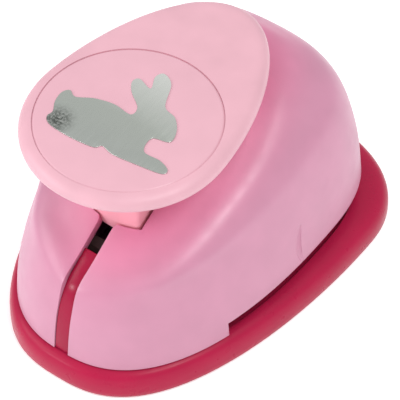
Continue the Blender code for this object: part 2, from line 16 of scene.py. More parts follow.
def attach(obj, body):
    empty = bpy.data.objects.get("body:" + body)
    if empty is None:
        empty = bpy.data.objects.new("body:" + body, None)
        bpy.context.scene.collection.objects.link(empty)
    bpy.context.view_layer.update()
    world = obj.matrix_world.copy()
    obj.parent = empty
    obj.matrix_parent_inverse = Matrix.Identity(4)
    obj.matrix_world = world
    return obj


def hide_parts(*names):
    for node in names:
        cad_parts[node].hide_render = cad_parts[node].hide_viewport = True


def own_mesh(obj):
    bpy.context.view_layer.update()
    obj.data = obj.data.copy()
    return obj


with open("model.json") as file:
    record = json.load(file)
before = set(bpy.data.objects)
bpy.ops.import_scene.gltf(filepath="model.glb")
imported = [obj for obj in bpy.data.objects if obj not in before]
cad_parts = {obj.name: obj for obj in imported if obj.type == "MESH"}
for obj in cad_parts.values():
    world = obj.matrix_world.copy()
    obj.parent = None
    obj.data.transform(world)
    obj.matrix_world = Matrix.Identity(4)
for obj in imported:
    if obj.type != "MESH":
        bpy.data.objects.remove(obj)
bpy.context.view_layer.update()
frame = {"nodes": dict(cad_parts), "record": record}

# Outlines seen from above: half width, Y of the widest place, front Y, rear Y, and the powers across,
# along the front and along the rear (2 is an ellipse, more is squarer).
BASE_OUTLINE = (0.0290, 0.0190, -0.0390, 0.0390, 2.63, 1.95, 2.48)
RIM_INNER = (0.0241, 0.0100, -0.0354, 0.0350, 2.45, 2.25, 2.7)
LEVER_OUTLINE = (0.0189, -0.0146, -0.0336, 0.0189, 2.05, 2.0, 1.66)

# Shared by the pieces.
WALL = 0.0017
GAP = 0.0003
HAIR = 0.00005
SMOOTH_ANGLE = 35.0
ROUNDED_ANGLE = 50.0
FRONT_RADIUS = 0.0155
DIE_Y = 0.0020
POST_X = 0.0152

# The base, with its window and the holes for the screws that go up through it.
BASE_FLOOR = 0.0031
WINDOW_HALF_WIDTH = 0.0135
WINDOW_REACH = 0.0115
WINDOW_CORNER = 0.002
SCREW_HOLE_RADIUS = 0.0015
HEAD_HOLE_RADIUS = 0.0029
HEAD_HOLE_TOP = 0.0017
BASE_CUT_Z = (-0.001, 0.006)

# The shell's seat on the base, and its mouth, which starts at a step and rises a little to the rear.
SHELL_SEAT_Z = 0.0059
MOUTH_Z = 0.0091
MOUTH_STEP_Y = -0.0166
MOUTH_SLOPE = 0.02
MOUTH_BAND_Z = 0.0115

# The slot, the lever's opening, and the round corners where the one runs out into the other.
SLOT_HALF = 0.00155
FIN_HALF = 0.00150
OPENING_HALF_WIDTH = 0.0064
OPENING_FRONT_Y = -0.0217
OPENING_REAR_Y = 0.0165
FLARE = 0.0011
FLARE_STEPS = (0.00010, 0.00025, 0.00045, 0.0007, 0.0011)

# The part of the skin round the opening that is split along straight lines.
TOP_HALF_WIDTH = 0.0085
TOP_FRONT_Y = -0.025
TOP_REAR_Y = 0.020
TOP_Z = 0.022

# The crescent in the right flank: its middle, its wire's radius, half its height, bulge and lean.
DENT_AT = (0.0251, 0.0018, 0.0140)
DENT_RADIUS = 0.0008
DENT_HALF = 0.0056
DENT_BULGE = 0.0014
DENT_LEAN = 0.0006
DENT_STEPS = 8

# Screw bosses inside the shell.
PLATE_TOP_Z = 0.0095
BOSS_RADIUS = 0.0025
BOSS_RAYS = 12
THREAD_BORE = 0.0013
THREAD_DEPTH = 0.0100
SHELL_SCREWS = ((-0.0105, -0.0285), (0.0105, -0.0285))
FRAME_SCREWS = ((-0.0165, 0.0225), (0.0165, 0.0225))
DIE_SCREWS = ((-0.0165, 0.0200), (0.0165, 0.0200))
ARM_SCREWS = ((0.0, -0.0120), (0.0, 0.0060))

# The lever, its stem, the room for its arm, and the label.
STEM_HALF_WIDTH = 0.0058
STEM_FRONT_Y = -0.0214
STEM_CUT_REAR_Y = 0.0155
STEM_STEPS = 16
ARM_HALF_WIDTH = 0.0044
ARM_ROOM_FRONT_Y = -0.0193
ARM_ROOM_TOP = 0.0415
LEVER_TOP = 0.0477
LEVER_LOW = 0.0443
LEVER_POINTS = 160
LABEL_Y = -0.0147
LABEL_RADIUS = 0.0166
LABEL_POINTS = 160
LABEL_RECESS = 0.0007

# The return springs.
SPRING_Z = (0.0095, 0.0167)
SPRING_RADIUS = 0.0023
SPRING_WIRE = 0.00035
SPRING_TURNS = 5
SPRING_STEPS = 24
SPRING_CLOSING = 26
WIRE_POINTS = 10

# The shell's rings from the bottom up: front Y, front Z, rear Y, rear Z, half width, Y of the widest
# place, power across, power along. The last ring lies inside the lever's opening.
SHELL_RINGS = (
    (-0.0371, 0.0059, 0.0360, 0.0059, 0.0255, 0.0100, 2.45, 2.30),
    (-0.0365, 0.0100, 0.0357, 0.0110, 0.0252, 0.0100, 2.45, 2.30),
    (-0.0356, 0.0142, 0.0348, 0.0180, 0.0248, 0.0110, 2.40, 2.20),
    (-0.0343, 0.0178, 0.0333, 0.0250, 0.0240, 0.0115, 2.35, 2.15),
    (-0.0325, 0.0206, 0.0311, 0.0314, 0.0228, 0.0110, 2.40, 2.20),
    (-0.0298, 0.0227, 0.0283, 0.0356, 0.0212, 0.0084, 2.60, 2.40),
    (-0.0258, 0.0252, 0.0248, 0.0379, 0.0184, 0.0076, 2.60, 2.40),
    (-0.0214, 0.0279, 0.0211, 0.0389, 0.0148, 0.0066, 2.60, 2.40),
    (-0.0160, 0.0308, 0.0166, 0.0393, 0.0107, 0.0048, 2.60, 2.40),
    (-0.0105, 0.0334, 0.0130, 0.0396, 0.0055, 0.0030, 2.60, 2.40),
)
RING_STEPS = 5
REAR_SQUARER = 0.5
NEAR_LIMIT = 0.95
NEAR_COLUMNS = (0.0, SLOT_HALF, 0.0023, 0.0032, 0.0042, 0.0053, 0.0064)
SIDE_COLUMNS = 34

# Rabbit resting with its head towards +X, as points round its outline, as in part.py.
RABBIT = (
    (-0.0008, -0.0087), (-0.0055, -0.0092), (-0.0100, -0.0089), (-0.0116, -0.0077), (-0.0115, -0.0062),
    (-0.0126, -0.0042), (-0.0130, -0.0019), (-0.0121, -0.0006), (-0.0104, -0.0013), (-0.0075, 0.0003),
    (-0.0038, 0.0012), (-0.0002, 0.0009), (-0.0002, 0.0029), (-0.0032, 0.0052), (-0.0046, 0.0072),
    (-0.0039, 0.0085), (-0.0010, 0.0077), (-0.0020, 0.0104), (-0.0011, 0.0119), (0.0014, 0.0105),
    (0.0036, 0.0058), (0.0065, 0.0047), (0.0086, 0.0023), (0.0091, -0.0003), (0.0061, -0.0014),
    (0.0068, -0.0045), (0.0102, -0.0046), (0.0125, -0.0055), (0.0122, -0.0068), (0.0082, -0.0075),
    (0.0030, -0.0081), (0.0003, -0.0076),
)

# The photograph's camera: its place, its axes, and where it looks as parts of its distance.
CAMERA_AT = (0.17340, -0.22445, 0.34576)
CAMERA_RIGHT = (0.81451, 0.58015, 0.0)
CAMERA_BACK = (0.39444, -0.55377, 0.73332)
AIM_RIGHT = -0.018057
AIM_UP = -0.043334
CAMERA_LENS = 212.7
SENSOR_WIDTH = 36.0
CLIP_START = 0.01

# The studio: the floor's height and glow, the world's strength, and lights as (name, place, size, power).
FLOOR_Z = -0.0002
FLOOR_SIZE = 1.5
FLOOR_GLOW = 0.3
WORLD_STRENGTH = 0.72
LIGHTS = (
    ("key", (-0.42, -0.34, 0.36), 0.42, 1.45),
    ("glint", (-0.24, -0.52, 0.20), 0.09, 0.50),
    ("gleam", (0.155, 0.052, 0.572), 0.08, 0.34),
    ("overhead", (0.29, -0.08, 0.52), 0.17, 1.15),
)

# Painted bounce light: a deeper pink painted round a place in the lever's shade, standing in for light that
# glows between the pink surfaces: colour, place, near, far, scale of the axes.
SHELL_PAINTED_BOUNCE = ((0.645, 0.176, 0.312), (0.0, -0.002, 0.0), 0.010, 0.021, (1.0, 0.57, 0.0))
STEM_PAINTED_BOUNCE = ((0.88, 0.36, 0.44), (0.0, -0.020, 0.028), 0.011, 0.017, (1.0, 1.0, 1.0))

# The foil's painted reflection brightens it from its front Y to its rear Y, and it is darkened and mottled
# round one place within two distances.
FOIL_REFLECTION_SPAN = (LABEL_Y - 0.010, LABEL_Y + 0.012)
DARK_PATCH_AT = (-0.0098, LABEL_Y - 0.0074, LEVER_TOP)
DARK_PATCH_REACH = (0.0004, 0.0043)


# ---------------------------------------------------------------- materials

def node_material(name):
    """A new material with its node tree, its shader and its object coordinates."""
    material = bpy.data.materials.new(name)
    material.use_nodes = True
    tree = material.node_tree
    shader = tree.nodes["Principled BSDF"]
    place = tree.nodes.new("ShaderNodeTexCoord").outputs["Object"]
    return material, tree, shader, place


def noise(tree, place, scale, detail=3.0, roughness=0.5, stretch=None):
    """A noise texture's value; stretch scales the coordinates along each axis first."""
    if stretch is not None:
        mapping = tree.nodes.new("ShaderNodeMapping")
        mapping.inputs["Scale"].default_value = stretch
        tree.links.new(place, mapping.inputs["Vector"])
        place = mapping.outputs["Vector"]
    texture = tree.nodes.new("ShaderNodeTexNoise")
    texture.inputs["Scale"].default_value = scale
    texture.inputs["Detail"].default_value = detail
    texture.inputs["Roughness"].default_value = roughness
    tree.links.new(place, texture.inputs["Vector"])
    return texture.outputs["Fac"]


def ramp(tree, value, stops):
    """A colour ramp over a value; stops are (position, colour)."""
    node = tree.nodes.new("ShaderNodeValToRGB")
    elements = node.color_ramp.elements
    while len(elements) < len(stops):
        elements.new(0.5)
    for element, (position, colour) in zip(elements, stops):
        element.position = position
        element.color = (*colour, 1.0)
    tree.links.new(value, node.inputs["Fac"])
    return node.outputs["Color"]


def spread(tree, value, low, high):
    """Maps a noise value, which stays near a half, onto low to high."""
    node = tree.nodes.new("ShaderNodeMapRange")
    node.inputs["From Min"].default_value = 0.3
    node.inputs["From Max"].default_value = 0.7
    node.inputs["To Min"].default_value = low
    node.inputs["To Max"].default_value = high
    tree.links.new(value, node.inputs["Value"])
    return node.outputs["Result"]


def bump(tree, shader, height, distance, strength=1.0):
    node = tree.nodes.new("ShaderNodeBump")
    node.inputs["Strength"].default_value = strength
    node.inputs["Distance"].default_value = distance
    tree.links.new(height, node.inputs["Height"])
    tree.links.new(node.outputs["Normal"], shader.inputs["Normal"])


def shade(colour, factor):
    return tuple(channel * factor for channel in colour)


def nearness(tree, place, point, near, far, scale=(1.0, 1.0, 1.0)):
    """1 within the near distance of a point, falling to 0 at the far one; the axes may be scaled."""
    scaled = tree.nodes.new("ShaderNodeVectorMath")
    scaled.operation = "MULTIPLY"
    scaled.inputs[1].default_value = scale
    tree.links.new(place, scaled.inputs[0])
    away = tree.nodes.new("ShaderNodeVectorMath")
    away.operation = "DISTANCE"
    away.inputs[1].default_value = Vector(point) * Vector(scale)
    tree.links.new(scaled.outputs["Vector"], away.inputs[0])
    fall = tree.nodes.new("ShaderNodeMapRange")
    fall.interpolation_type = "SMOOTHSTEP"
    fall.inputs["From Min"].default_value = near
    fall.inputs["From Max"].default_value = far
    fall.inputs["To Min"].default_value = 1.0
    fall.inputs["To Max"].default_value = 0.0
    tree.links.new(away.outputs["Value"], fall.inputs["Value"])
    return fall.outputs["Result"]


def blend(tree, factor, first, second):
    """Mixes two colour outputs by a factor output."""
    mix = tree.nodes.new("ShaderNodeMix")
    mix.data_type = "RGBA"
    tree.links.new(factor, mix.inputs["Factor"])
    tree.links.new(first, mix.inputs["A"])
    tree.links.new(second, mix.inputs["B"])
    return mix.outputs["Result"]


def moulded_plastic(name, colour, roughness, specular=0.5, grain=0.000004, depth=0.04, painted_bounce=None):
    """Moulded plastic: cloudy colour, uneven sheen and a very fine spark-eroded grain.

    The last argument, when given, is painted bounce light as (colour, point, near, far, scale): a deeper
    pink painted round a point in the lever's shade.
    """
    material, tree, shader, place = node_material(name)
    cloud = noise(tree, place, 140.0, 2.0)
    surface = ramp(tree, cloud, ((0.3, shade(colour, 1 - depth)), (0.7, shade(colour, 1 + depth))))
    if painted_bounce is not None:
        # Painted bounce light: the colour turns a deeper pink near the point, in the lever's shade.
        bounce_colour, point, near, far, scale = painted_bounce
        bounce_surface = ramp(tree, cloud, ((0.3, shade(bounce_colour, 1 - depth)), (0.7, shade(bounce_colour, 1 + depth))))
        surface = blend(tree, nearness(tree, place, point, near, far, scale), surface, bounce_surface)
    tree.links.new(surface, shader.inputs["Base Color"])
    tree.links.new(spread(tree, noise(tree, place, 420.0, 4.0), roughness - 0.04, roughness + 0.04),
                   shader.inputs["Roughness"])
    shader.inputs["Specular IOR Level"].default_value = specular
    bump(tree, shader, noise(tree, place, 3600.0, 2.0), grain)
    return material


def metal(name, colour, roughness, stretch=(1.0, 1.0, 1.0), scale=1500.0, grain=0.000004):
    """Bare or plated metal with fine marks along one direction."""
    material, tree, shader, place = node_material(name)
    marks = noise(tree, place, scale, 4.0, 0.6, stretch)
    tree.links.new(ramp(tree, marks, ((0.3, shade(colour, 0.86)), (0.7, shade(colour, 1.08)))),
                   shader.inputs["Base Color"])
    tree.links.new(spread(tree, marks, roughness - 0.06, roughness + 0.08), shader.inputs["Roughness"])
    shader.inputs["Metallic"].default_value = 1.0
    bump(tree, shader, marks, grain)
    return material


def foil_material():
    """Bright hot-stamped foil: fine brushing, a painted reflection that dims towards the feet, and one dark
    mottled patch.
    """
    material, tree, shader, place = node_material("foil_silver")
    axes = tree.nodes.new("ShaderNodeSeparateXYZ")
    tree.links.new(place, axes.inputs["Vector"])
    # Painted reflection: the flat foil's colour brightens from front to rear.
    along = tree.nodes.new("ShaderNodeMapRange")
    along.inputs["From Min"].default_value = FOIL_REFLECTION_SPAN[0]
    along.inputs["From Max"].default_value = FOIL_REFLECTION_SPAN[1]
    tree.links.new(axes.outputs["Y"], along.inputs["Value"])
    base = ramp(tree, along.outputs["Result"],
                ((0.0, (0.50, 0.53, 0.50)), (0.45, (0.54, 0.575, 0.53)), (1.0, (0.86, 0.88, 0.84))))
    # A dark mottled patch near the tail, blended in round one place.
    mottled = ramp(tree, noise(tree, place, 2200.0, 5.0, 0.7),
                ((0.42, (0.09, 0.10, 0.09)), (0.64, (0.50, 0.52, 0.49))))
    patch = nearness(tree, place, DARK_PATCH_AT, *DARK_PATCH_REACH)
    tree.links.new(blend(tree, patch, base, mottled), shader.inputs["Base Color"])
    brushing = noise(tree, place, 1800.0, 3.0, 0.6, (1.0, 0.12, 1.0))
    tree.links.new(spread(tree, brushing, 0.22, 0.36), shader.inputs["Roughness"])
    shader.inputs["Metallic"].default_value = 1.0
    bump(tree, shader, brushing, 0.000003)
    return material


def floor_material():
    """White paper that glows a little, so that it stays white in the shade."""
    material, tree, shader, place = node_material("floor_paper")
    paper = ramp(tree, noise(tree, place, 60.0), ((0.3, (0.93, 0.93, 0.93)), (0.7, (0.95, 0.95, 0.95))))
    tree.links.new(paper, shader.inputs["Base Color"])
    shader.inputs["Roughness"].default_value = 0.9
    shader.inputs["Specular IOR Level"].default_value = 0.0
    shader.inputs["Emission Color"].default_value = (1.0, 1.0, 1.0, 1.0)
    shader.inputs["Emission Strength"].default_value = FLOOR_GLOW
    return material


# The shell and the lever carry painted bounce light round the stem, under the lever's pad.
SHELL_PINK = moulded_plastic("shell_pink", (0.525, 0.225, 0.332), 0.37, 0.6, painted_bounce=SHELL_PAINTED_BOUNCE)
LEVER_PINK = moulded_plastic("lever_pink", (0.655, 0.364, 0.427), 0.42, 0.4, painted_bounce=STEM_PAINTED_BOUNCE)
LABEL_PINK = moulded_plastic("label_pink", (0.655, 0.366, 0.430), 0.34, 0.4, depth=0.025)
CRIMSON = moulded_plastic("base_crimson", (0.385, 0.011, 0.052), 0.30, 0.14)
# Painted shade: the fin's crimson is the base's crimson made darker, for the fin deep in the slot; it is
# also glossier.
FIN_CRIMSON_SHADED = moulded_plastic("fin_crimson_shaded", (0.32, 0.010, 0.044), 0.20, 0.14)
BLACK_STEEL = moulded_plastic("black_steel", (0.065, 0.042, 0.038), 0.55, grain=0.00001)
BLACK_PLASTIC = moulded_plastic("black_plastic", (0.022, 0.022, 0.024), 0.5)
TOOL_STEEL = metal("tool_steel", (0.56, 0.57, 0.58), 0.30, (1.0, 0.06, 1.0))
BRIGHT_STEEL = metal("bright_steel", (0.72, 0.72, 0.71), 0.24)
SPRING_STEEL = metal("spring_steel", (0.60, 0.60, 0.59), 0.28, scale=3000.0)
FOIL = foil_material()
MATERIALS = {
    "shell_pink": SHELL_PINK, "lever_pink": LEVER_PINK, "label_pink": LABEL_PINK, "base_crimson": CRIMSON,
    "black_steel": BLACK_STEEL, "black_plastic": BLACK_PLASTIC, "tool_steel": TOOL_STEEL,
    "bright_steel": BRIGHT_STEEL, "spring_steel": SPRING_STEEL, "foil_silver": FOIL,
}


# ---------------------------------------------------------------- helpers

def link_mesh(name, mesh, material):
    made = bpy.data.objects.new(name, mesh)
    bpy.context.scene.collection.objects.link(made)
    mesh.materials.clear()
    mesh.materials.append(material)
    return made


def from_bmesh(name, shape, material):
    """Puts a bmesh in the scene, smooth apart from its sharp edges."""
    bmesh.ops.recalc_face_normals(shape, faces=shape.faces)
    mesh = bpy.data.meshes.new(name)
    shape.to_mesh(mesh)
    shape.free()
    mesh.shade_smooth()
    mesh.set_sharp_from_angle(angle=math.radians(SMOOTH_ANGLE))
    return link_mesh(name, mesh, material)


def apply_modifiers(made):
    """Bakes an object's modifiers into its mesh."""
    bpy.context.view_layer.update()
    solid = bpy.data.meshes.new_from_object(made.evaluated_get(bpy.context.evaluated_depsgraph_get()))
    made.modifiers.clear()
    made.data = solid
    solid.shade_smooth()
    solid.set_sharp_from_angle(angle=math.radians(SMOOTH_ANGLE))
    return made


def boolean(made, cutter, operation="DIFFERENCE"):
    """Cuts or joins one object with another at once and removes the other."""
    cut = made.modifiers.new("cut", "BOOLEAN")
    cut.operation = operation
    cut.solver = "EXACT"
    cut.object = cutter
    apply_modifiers(made)
    bpy.data.objects.remove(cutter, do_unlink=True)
    return made


def round_edges(made, width, segments=3, angle=40.0, keep=None):
    """Rounds the sharp edges that keep(edge) allows."""
    shape = bmesh.new()
    shape.from_mesh(made.data)
    edges = [e for e in shape.edges if len(e.link_faces) == 2 and e.calc_face_angle(0) > math.radians(angle)
             and (keep is None or keep(e))]
    bmesh.ops.bevel(shape, geom=edges, offset=width, segments=segments, profile=0.5, affect="EDGES",
                    clamp_overlap=True)
    shape.to_mesh(made.data)
    shape.free()
    made.data.shade_smooth()
    made.data.set_sharp_from_angle(angle=math.radians(ROUNDED_ANGLE))
    return made


def signed_power(value, power):
    return math.copysign(abs(value) ** power, value)


def egg(outline, grow=0.0, count=192):
    """Points of an egg-shaped outline, anticlockwise from +X, grown or shrunk by a distance."""
    half_width, wide_y, front_y, rear_y, across, front, rear = outline
    points = []
    for i in range(count):
        angle = 2 * math.pi * i / count
        behind = math.sin(angle) > 0
        length = (rear_y - wide_y if behind else wide_y - front_y) + grow
        x = (half_width + grow) * signed_power(math.cos(angle), 2 / across)
        y = wide_y + length * signed_power(math.sin(angle), 2 / (rear if behind else front))
        points.append((x, y))
    return points


def between(first, second, share):
    return [(a[0] + (b[0] - a[0]) * share, a[1] + (b[1] - a[1]) * share) for a, b in zip(first, second)]


def at_height(outline, z):
    return [Vector((x, y, z)) for x, y in outline]


def loft(rings, closed_ends=True):
    """Skins a stack of rings with the same number of points."""
    shape = bmesh.new()
    rows = [[shape.verts.new(point) for point in ring] for ring in rings]
    count = len(rows[0])
    for lower, upper in zip(rows, rows[1:]):
        for i in range(count):
            j = (i + 1) % count
            shape.faces.new((lower[i], lower[j], upper[j], upper[i]))
    if closed_ends:
        shape.faces.new(rows[0][::-1])
        shape.faces.new(rows[-1])
    return shape


def catmull(before, start, end, after, t):
    return 0.5 * (2 * start + (end - before) * t + (2 * before - 5 * start + 4 * end - after) * t ** 2
                  + (3 * start - before - 3 * end + after) * t ** 3)


def smooth_between(rows, steps):
    """More rows through the given ones, on a Catmull-Rom curve."""
    rows = [np.array(row) for row in rows]
    padded = [2 * rows[0] - rows[1], *rows, 2 * rows[-1] - rows[-2]]
    made = []
    for quad in zip(padded, padded[1:], padded[2:], padded[3:]):
        made += [catmull(*quad, step / steps) for step in range(steps)]
    made.append(rows[-1])
    return made


def smooth_closed(points, steps):
    """A closed outline through the given points, on a Catmull-Rom curve."""
    points = [np.array(point) for point in points]
    count = len(points)
    made = []
    for i in range(count):
        quad = [points[(i + k) % count] for k in (-1, 0, 1, 2)]
        made += [tuple(catmull(*quad, step / steps)) for step in range(steps)]
    return made


def prism(name, outline, low, high, material, plane="XY"):
    """A flat outline with thickness: Z from low to high, or X when the plane is YZ."""
    shape = bmesh.new()
    if plane == "YZ":
        ends = [[shape.verts.new((x, y, z)) for y, z in outline] for x in (low, high)]
    else:
        ends = [[shape.verts.new((x, y, z)) for x, y in outline] for z in (low, high)]
    count = len(outline)
    for i in range(count):
        j = (i + 1) % count
        shape.faces.new((ends[0][i], ends[0][j], ends[1][j], ends[1][i]))
    shape.faces.new(ends[0][::-1])
    shape.faces.new(ends[1])
    return from_bmesh(name, shape, material)


def block(low, high):
    """A box-shaped cutter."""
    outline = ((low[0], low[1]), (high[0], low[1]), (high[0], high[1]), (low[0], high[1]))
    return prism("cutter", outline, low[2], high[2], SHELL_PINK)


def disc(radius, centre, low, high, count=32):
    """A round cutter about Z."""
    turn = 2 * math.pi / count
    outline = [(centre[0] + radius * math.cos(i * turn), centre[1] + radius * math.sin(i * turn))
               for i in range(count)]
    return prism("cutter", outline, low, high, SHELL_PINK)


def bow(x):
    """How far a bowed front has gone back at a distance x from the mid-plane."""
    return FRONT_RADIUS - math.sqrt(FRONT_RADIUS ** 2 - min(abs(x), FRONT_RADIUS) ** 2)


# ---------------------------------------------------------------- body shell

# The shoulder, where the flank turns over to the top, seen from above on the right side: it leaves the
# slot on a power curve, turns at a corner, is widest beside the lever and comes in on a quarter ellipse.
SHOULDER_FRONT_Y = -0.0330
SHOULDER_POWER = 1.25
SHOULDER_CORNER = (0.0133, -0.0254)
SHOULDER_WIDEST = (0.0171, -0.0030)
SHOULDER_REAR_Y = 0.0225
SHOULDER_STEPS = 24

# The widths over which the skin is raised along the shoulder, with their heights.
SHOULDER_WAVES = ((0.0052, 0.00044), (0.0030, 0.00010))


def shoulder_line(skin):
    """Points along the shoulder, at the height of the shell's own skin."""
    corner_x, corner_y = SHOULDER_CORNER
    wide_x, wide_y = SHOULDER_WIDEST
    shares = [i / SHOULDER_STEPS for i in range(SHOULDER_STEPS + 1)]
    quarter = [math.pi / 2 * t for t in shares]
    plan = [(corner_x * t, SHOULDER_FRONT_Y + (corner_y - SHOULDER_FRONT_Y) * t ** SHOULDER_POWER)
            for t in shares]
    plan += [(wide_x - (wide_x - corner_x) * (1 - t) ** 2, corner_y + (wide_y - corner_y) * t)
             for t in shares[1:]]
    plan += [(wide_x * math.cos(t), wide_y + (SHOULDER_REAR_Y - wide_y) * math.sin(t)) for t in quarter[1:]]
    starts = [Vector((max(x, HAIR), y, 0.1)) for x, y in plan]
    return np.array([skin.ray_cast(start, Vector((0, 0, -1)))[0] for start in starts])


def raise_shoulder(shape):
    """Lifts the skin along the shoulder, so that it turns over within a few millimetres."""
    line = shoulder_line(BVHTree.FromBMesh(shape))
    starts, runs = line[:-1], line[1:] - line[:-1]
    lengths = (runs ** 2).sum(1)
    shape.normal_update()
    lifts = []
    for vertex in shape.verts:
        here = np.array((abs(vertex.co.x), vertex.co.y, vertex.co.z))
        share = np.clip(((here - starts) * runs).sum(1) / lengths, 0.0, 1.0)
        distance = math.sqrt(((starts + runs * share[:, None] - here) ** 2).sum(1).min())
        lift = sum(height * math.cos(math.pi / 2 * distance / width) ** 2
                   for width, height in SHOULDER_WAVES if distance < width)
        lifts.append(vertex.normal * lift)
    for vertex, lift in zip(shape.verts, lifts):
        vertex.co += lift


def shell_quadrant(row, rear):
    """One quarter of a ring, from the mid-plane out to its widest place."""
    front_y, _, rear_y, _, half_width, wide_y, across, along = row
    power = along + REAR_SQUARER if rear else along
    length = rear_y - wide_y if rear else wide_y - front_y
    near = [math.acos((x / half_width) ** (across / 2)) for x in NEAR_COLUMNS
            if x < half_width * NEAR_LIMIT]
    steps = SIDE_COLUMNS + len(NEAR_COLUMNS) - len(near)
    turns = near + [near[-1] * (1 - k / steps) for k in range(1, steps + 1)]
    sign = 1 if rear else -1
    return [(half_width * math.cos(t) ** (2 / across), wide_y + sign * length * math.sin(t) ** (2 / power))
            for t in turns]


def shell_ring(row):
    """One ring of the shell, which rises from its front to its rear."""
    front_y, front_z, rear_y, rear_z = row[:4]
    front = shell_quadrant(row, rear=False)
    rear = shell_quadrant(row, rear=True)[::-1]
    right = front + rear[1:]
    left = [(-x, y) for x, y in right[::-1]][1:-1]
    rise = (rear_z - front_z) / (rear_y - front_y)
    return [Vector((x, y, front_z + (y - front_y) * rise)) for x, y in right + left]


def flare_slot(shape):
    """Opens the slot out into the lever's opening with a round corner on each side."""
    for vertex in shape.verts:
        x, y, z = vertex.co
        short = FLARE + y - OPENING_FRONT_Y
        if abs(abs(x) - SLOT_HALF) < HAIR and z > TOP_Z and 0.0 < short < FLARE + HAIR:
            vertex.co.x += math.copysign(FLARE - math.sqrt(FLARE ** 2 - min(short, FLARE) ** 2), x)


def split(shape, region, place, normal, snap=0.00025):
    """Splits the faces of a region along a plane, with near points moved onto it."""
    faces = [f for f in shape.faces if region(f.calc_center_median())]
    geometry = list({v for f in faces for v in f.verts} | {e for f in faces for e in f.edges}) + faces
    bmesh.ops.bisect_plane(shape, geom=geometry, dist=snap, plane_co=place, plane_no=normal,
                           use_snap_center=True)


def remove_faces(shape, region):
    gone = [f for f in shape.faces if region(f.calc_center_median())]
    bmesh.ops.delete(shape, geom=gone, context="FACES")


def near_opening(c):
    """Whether a place on the skin is close to the lever's opening or the top of the slot."""
    return abs(c.x) < TOP_HALF_WIDTH and c.z > TOP_Z and TOP_FRONT_Y < c.y < TOP_REAR_Y


def near_mouth(c):
    return c.z < MOUTH_BAND_Z


def in_opening(c):
    return (abs(c.x) < OPENING_HALF_WIDTH and c.z > TOP_Z
            and OPENING_FRONT_Y + bow(c.x) < c.y < OPENING_REAR_Y)


def in_slot(c):
    return abs(c.x) < SLOT_HALF and c.y < OPENING_FRONT_Y + 2 * HAIR


def in_mouth(c):
    return c.y > MOUTH_STEP_Y and c.z < MOUTH_Z + MOUTH_SLOPE * (c.y - MOUTH_STEP_Y)


def settle_top(shape, skin):
    """Puts the vertices round the opening back on the smooth skin after the splits."""
    for vertex in shape.verts:
        if vertex.co.z > TOP_Z and abs(vertex.co.x) < TOP_HALF_WIDTH:
            hit = skin.ray_cast(vertex.co + Vector((0, 0, 0.01)), Vector((0, 0, -1)))[0]
            if hit is not None and abs(hit.z - vertex.co.z) < 0.001:
                vertex.co.z = hit.z


def make_shell():
    """The shell: a smooth skin, open at the slot, the lever and the mouth, then given its wall."""
    shape = loft([shell_ring(row) for row in smooth_between(SHELL_RINGS, RING_STEPS)], closed_ends=False)
    bmesh.ops.recalc_face_normals(shape, faces=shape.faces)
    raise_shoulder(shape)
    whole = BVHTree.FromBMesh(shape)
    for vertex in shape.verts:
        vertex.co.y -= bow(vertex.co.x)
    for back in (0.0, *FLARE_STEPS):
        split(shape, near_opening, (0, OPENING_FRONT_Y - back, 0), (0, 1, 0), 2 * HAIR)
    flare_slot(shape)
    for vertex in shape.verts:
        vertex.co.y += bow(vertex.co.x)
    split(shape, near_opening, (0, OPENING_REAR_Y, 0), (0, 1, 0))
    for x in (-OPENING_HALF_WIDTH, OPENING_HALF_WIDTH):
        split(shape, near_opening, (x, 0, 0), (1, 0, 0))
    settle_top(shape, whole)
    split(shape, near_mouth, (0, MOUTH_STEP_Y, 0), (0, 1, 0))
    split(shape, near_mouth, (0, MOUTH_STEP_Y, MOUTH_Z), (0, -MOUTH_SLOPE, 1))
    for region in (in_opening, in_slot, in_mouth):
        remove_faces(shape, region)
    shell = from_bmesh("shell_skin", shape, SHELL_PINK)
    wall = shell.modifiers.new("wall", "SOLIDIFY")
    wall.thickness = WALL
    wall.offset = -1.0
    wall.use_even_offset = True
    apply_modifiers(shell)
    round_edges(shell, 0.00042, 4, 45.0, lambda e: min(v.co.z for v in e.verts) > SHELL_SEAT_Z + 0.0002)
    boolean(shell, make_crescent())
    for low, places in ((SHELL_SEAT_Z, SHELL_SCREWS), (PLATE_TOP_Z, FRAME_SCREWS)):
        for x, y in places:
            add_boss(shell, whole, x, y, low)
    return shell


def add_boss(shell, skin, x, y, low):
    """A screw boss that grows down from the inside of the shell's skin."""
    hits = []
    for turn in (2 * math.pi * i / BOSS_RAYS for i in range(BOSS_RAYS)):
        start = Vector((x + BOSS_RADIUS * math.cos(turn), y + BOSS_RADIUS * math.sin(turn), 0.1))
        hits.append(skin.ray_cast(start, Vector((0, 0, -1)))[0].z)
    boolean(shell, disc(BOSS_RADIUS, (x, y), low, min(hits) - WALL / 2), "UNION")
    boolean(shell, disc(THREAD_BORE, (x, y), low - 0.001, low + THREAD_DEPTH))


def make_crescent():
    """The cutter for the small crescent mark moulded in the right flank."""
    rings = []
    for i in range(2 * DENT_STEPS + 1):
        share = i / DENT_STEPS - 1
        thick = DENT_RADIUS * math.sqrt(max(1 - share ** 2, 0.0)) + HAIR
        x = DENT_AT[0] - DENT_LEAN * share
        y = DENT_AT[1] + DENT_BULGE * share ** 2
        z = DENT_AT[2] + DENT_HALF * share
        turns = [2 * math.pi * k / 12 for k in range(12)]
        rings.append([Vector((x + thick * math.cos(t), y + thick * math.sin(t), z)) for t in turns])
    return from_bmesh("cutter", loft(rings), SHELL_PINK)


# ---------------------------------------------------------------- base

